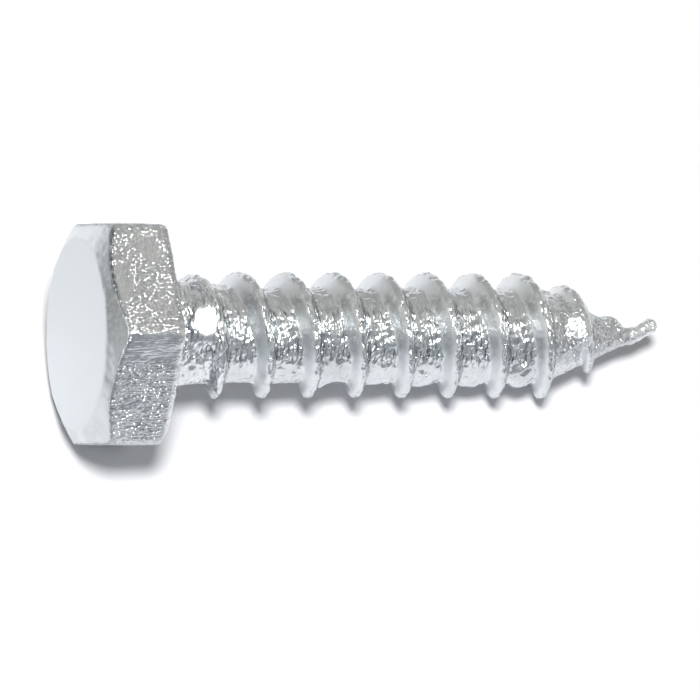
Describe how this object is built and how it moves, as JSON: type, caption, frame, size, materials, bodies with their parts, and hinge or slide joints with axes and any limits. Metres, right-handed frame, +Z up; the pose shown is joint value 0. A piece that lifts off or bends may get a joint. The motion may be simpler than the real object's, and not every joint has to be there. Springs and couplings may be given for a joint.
{
  "type": "lag screw",
  "caption": "Hot-dip galvanised hex head lag screw, threaded over its whole shank to a gimlet point, lying on its side.",
  "frame": {"origin": "on the surface the screw lies on, at the middle of its length and width", "axes": "+X along the screw toward its point, tipped down a few degrees as it rests on its head and thread; +Z up, square to the surface"},
  "size_m": [0.032, 0.0128, 0.0115],
  "materials": {
    "galvanised_steel": "hot-dip galvanised, rough on the thread and flats, smooth on the top of the head"
  },
  "bodies": {
    "root": {"lag_screw": "galvanised_steel"}
  },
  "joints": []
}
